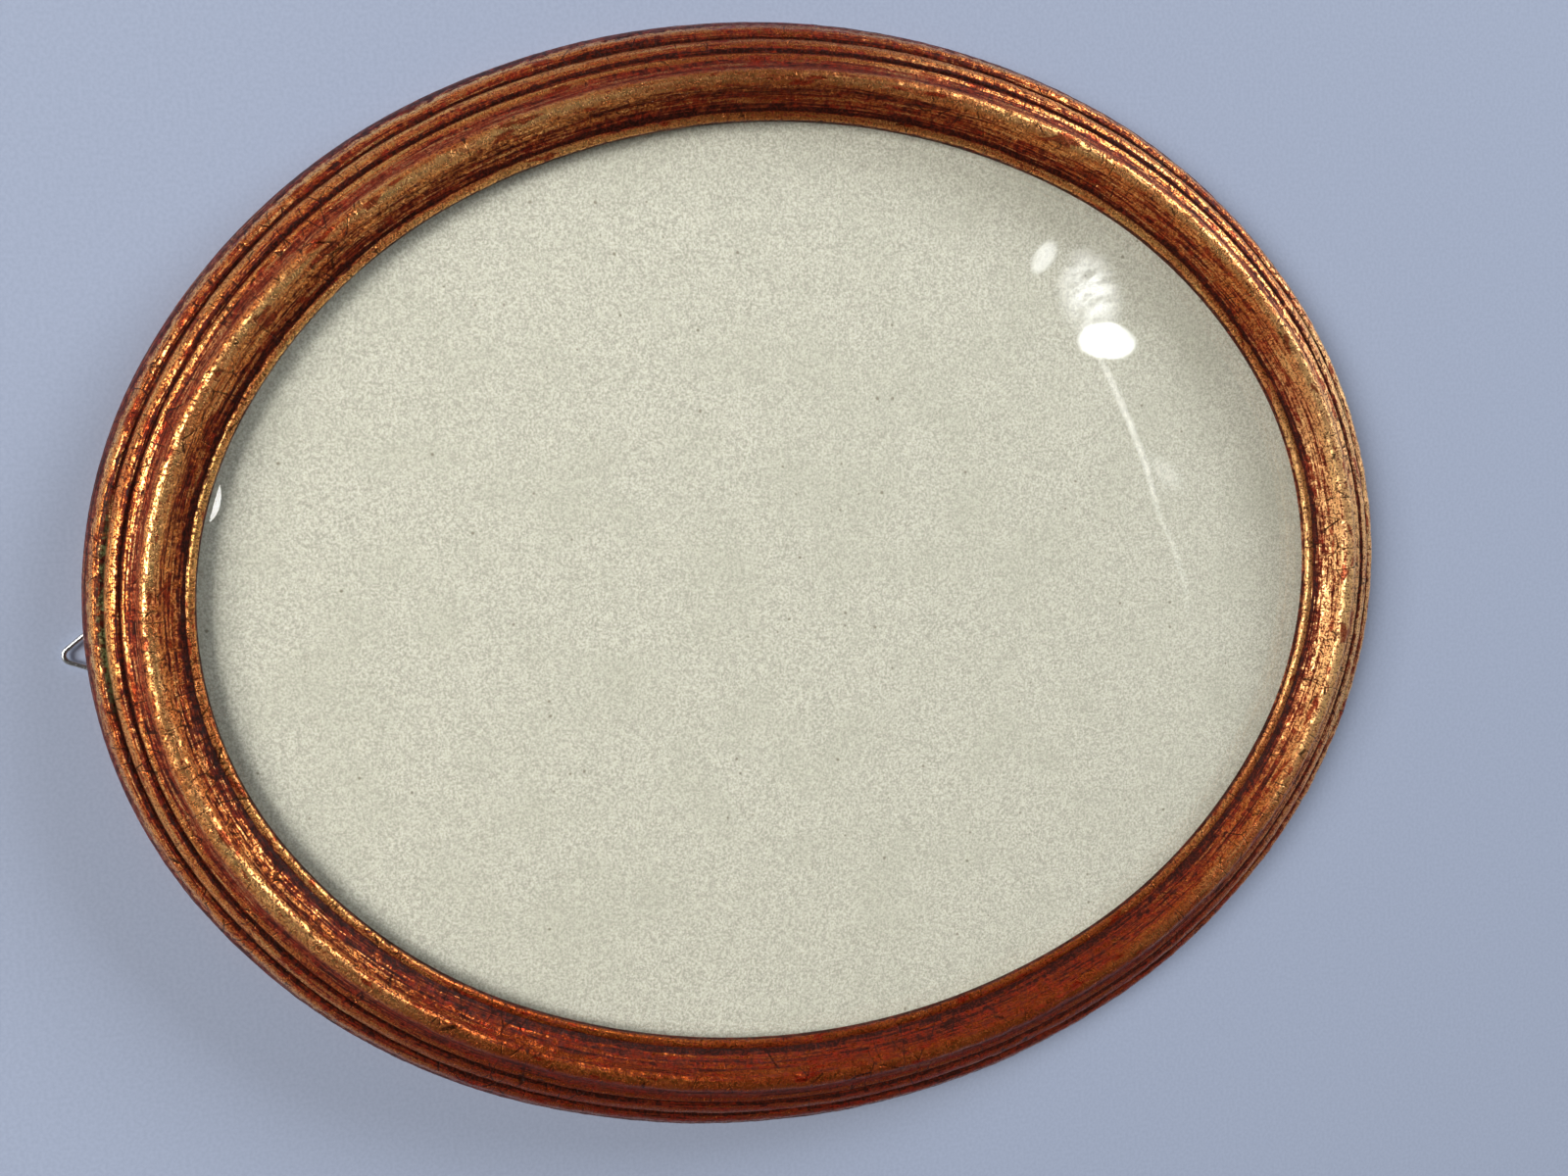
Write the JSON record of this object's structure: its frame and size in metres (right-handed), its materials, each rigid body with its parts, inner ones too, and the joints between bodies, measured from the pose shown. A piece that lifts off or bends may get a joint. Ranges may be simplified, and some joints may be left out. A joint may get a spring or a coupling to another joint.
{
  "type": "oval picture frame",
  "caption": "Oval wooden picture frame with a gilded moulding, domed glass, a backing card, turn buttons and a swinging wire ring to hang it by.",
  "frame": {"origin": "middle of the oval, on the plane of the frame's back", "axes": "+Y to the top of the picture, where the hanging ring is; +X to the viewer's right; +Z out of the face"},
  "size_m": [0.2508, 0.3049, 0.0234],
  "materials": {
    "gilded_wood": "worn gold leaf over red clay",
    "glass": "clear",
    "greyboard": "matt",
    "hardboard": "matt",
    "brass": "satin",
    "steel": "satin"
  },
  "bodies": {
    "frame": {"moulding_top": "gilded_wood", "moulding_right": "gilded_wood", "moulding_bottom": "gilded_wood", "moulding_left": "gilded_wood", "domed_glass": "glass", "backing_card": "greyboard", "back_panel": "hardboard", "turn_button_screws": "brass", "hanger_strap": "steel", "hanger_screw": "steel"},
    "ring": {"hanger_ring": "steel"},
    "button_upper_right": {"turn_button_upper_right": "brass"},
    "button_upper_left": {"turn_button_upper_left": "brass"},
    "button_lower_left": {"turn_button_lower_left": "brass"},
    "button_lower_right": {"turn_button_lower_right": "brass"}
  },
  "joints": [
    {"name": "ring_swing", "type": "hinge", "parent": "frame", "child": "ring", "pos_m": [-0.00169, 0.14345, -0.0011], "axis": [-0.9921, -0.1253, 0], "range_deg": [-4, 172]},
    {"name": "button_upper_right_turn", "type": "hinge", "parent": "frame", "child": "button_upper_right", "pos_m": [0.09479, 0.08099, -0.0013], "axis": [0, 0, 1], "continuous": true},
    {"name": "button_upper_left_turn", "type": "hinge", "parent": "frame", "child": "button_upper_left", "pos_m": [-0.09479, 0.08099, -0.0013], "axis": [0, 0, 1], "continuous": true},
    {"name": "button_lower_left_turn", "type": "hinge", "parent": "frame", "child": "button_lower_left", "pos_m": [-0.09479, -0.08099, -0.0013], "axis": [0, 0, 1], "continuous": true},
    {"name": "button_lower_right_turn", "type": "hinge", "parent": "frame", "child": "button_lower_right", "pos_m": [0.09479, -0.08099, -0.0013], "axis": [0, 0, 1], "continuous": true}
  ]
}
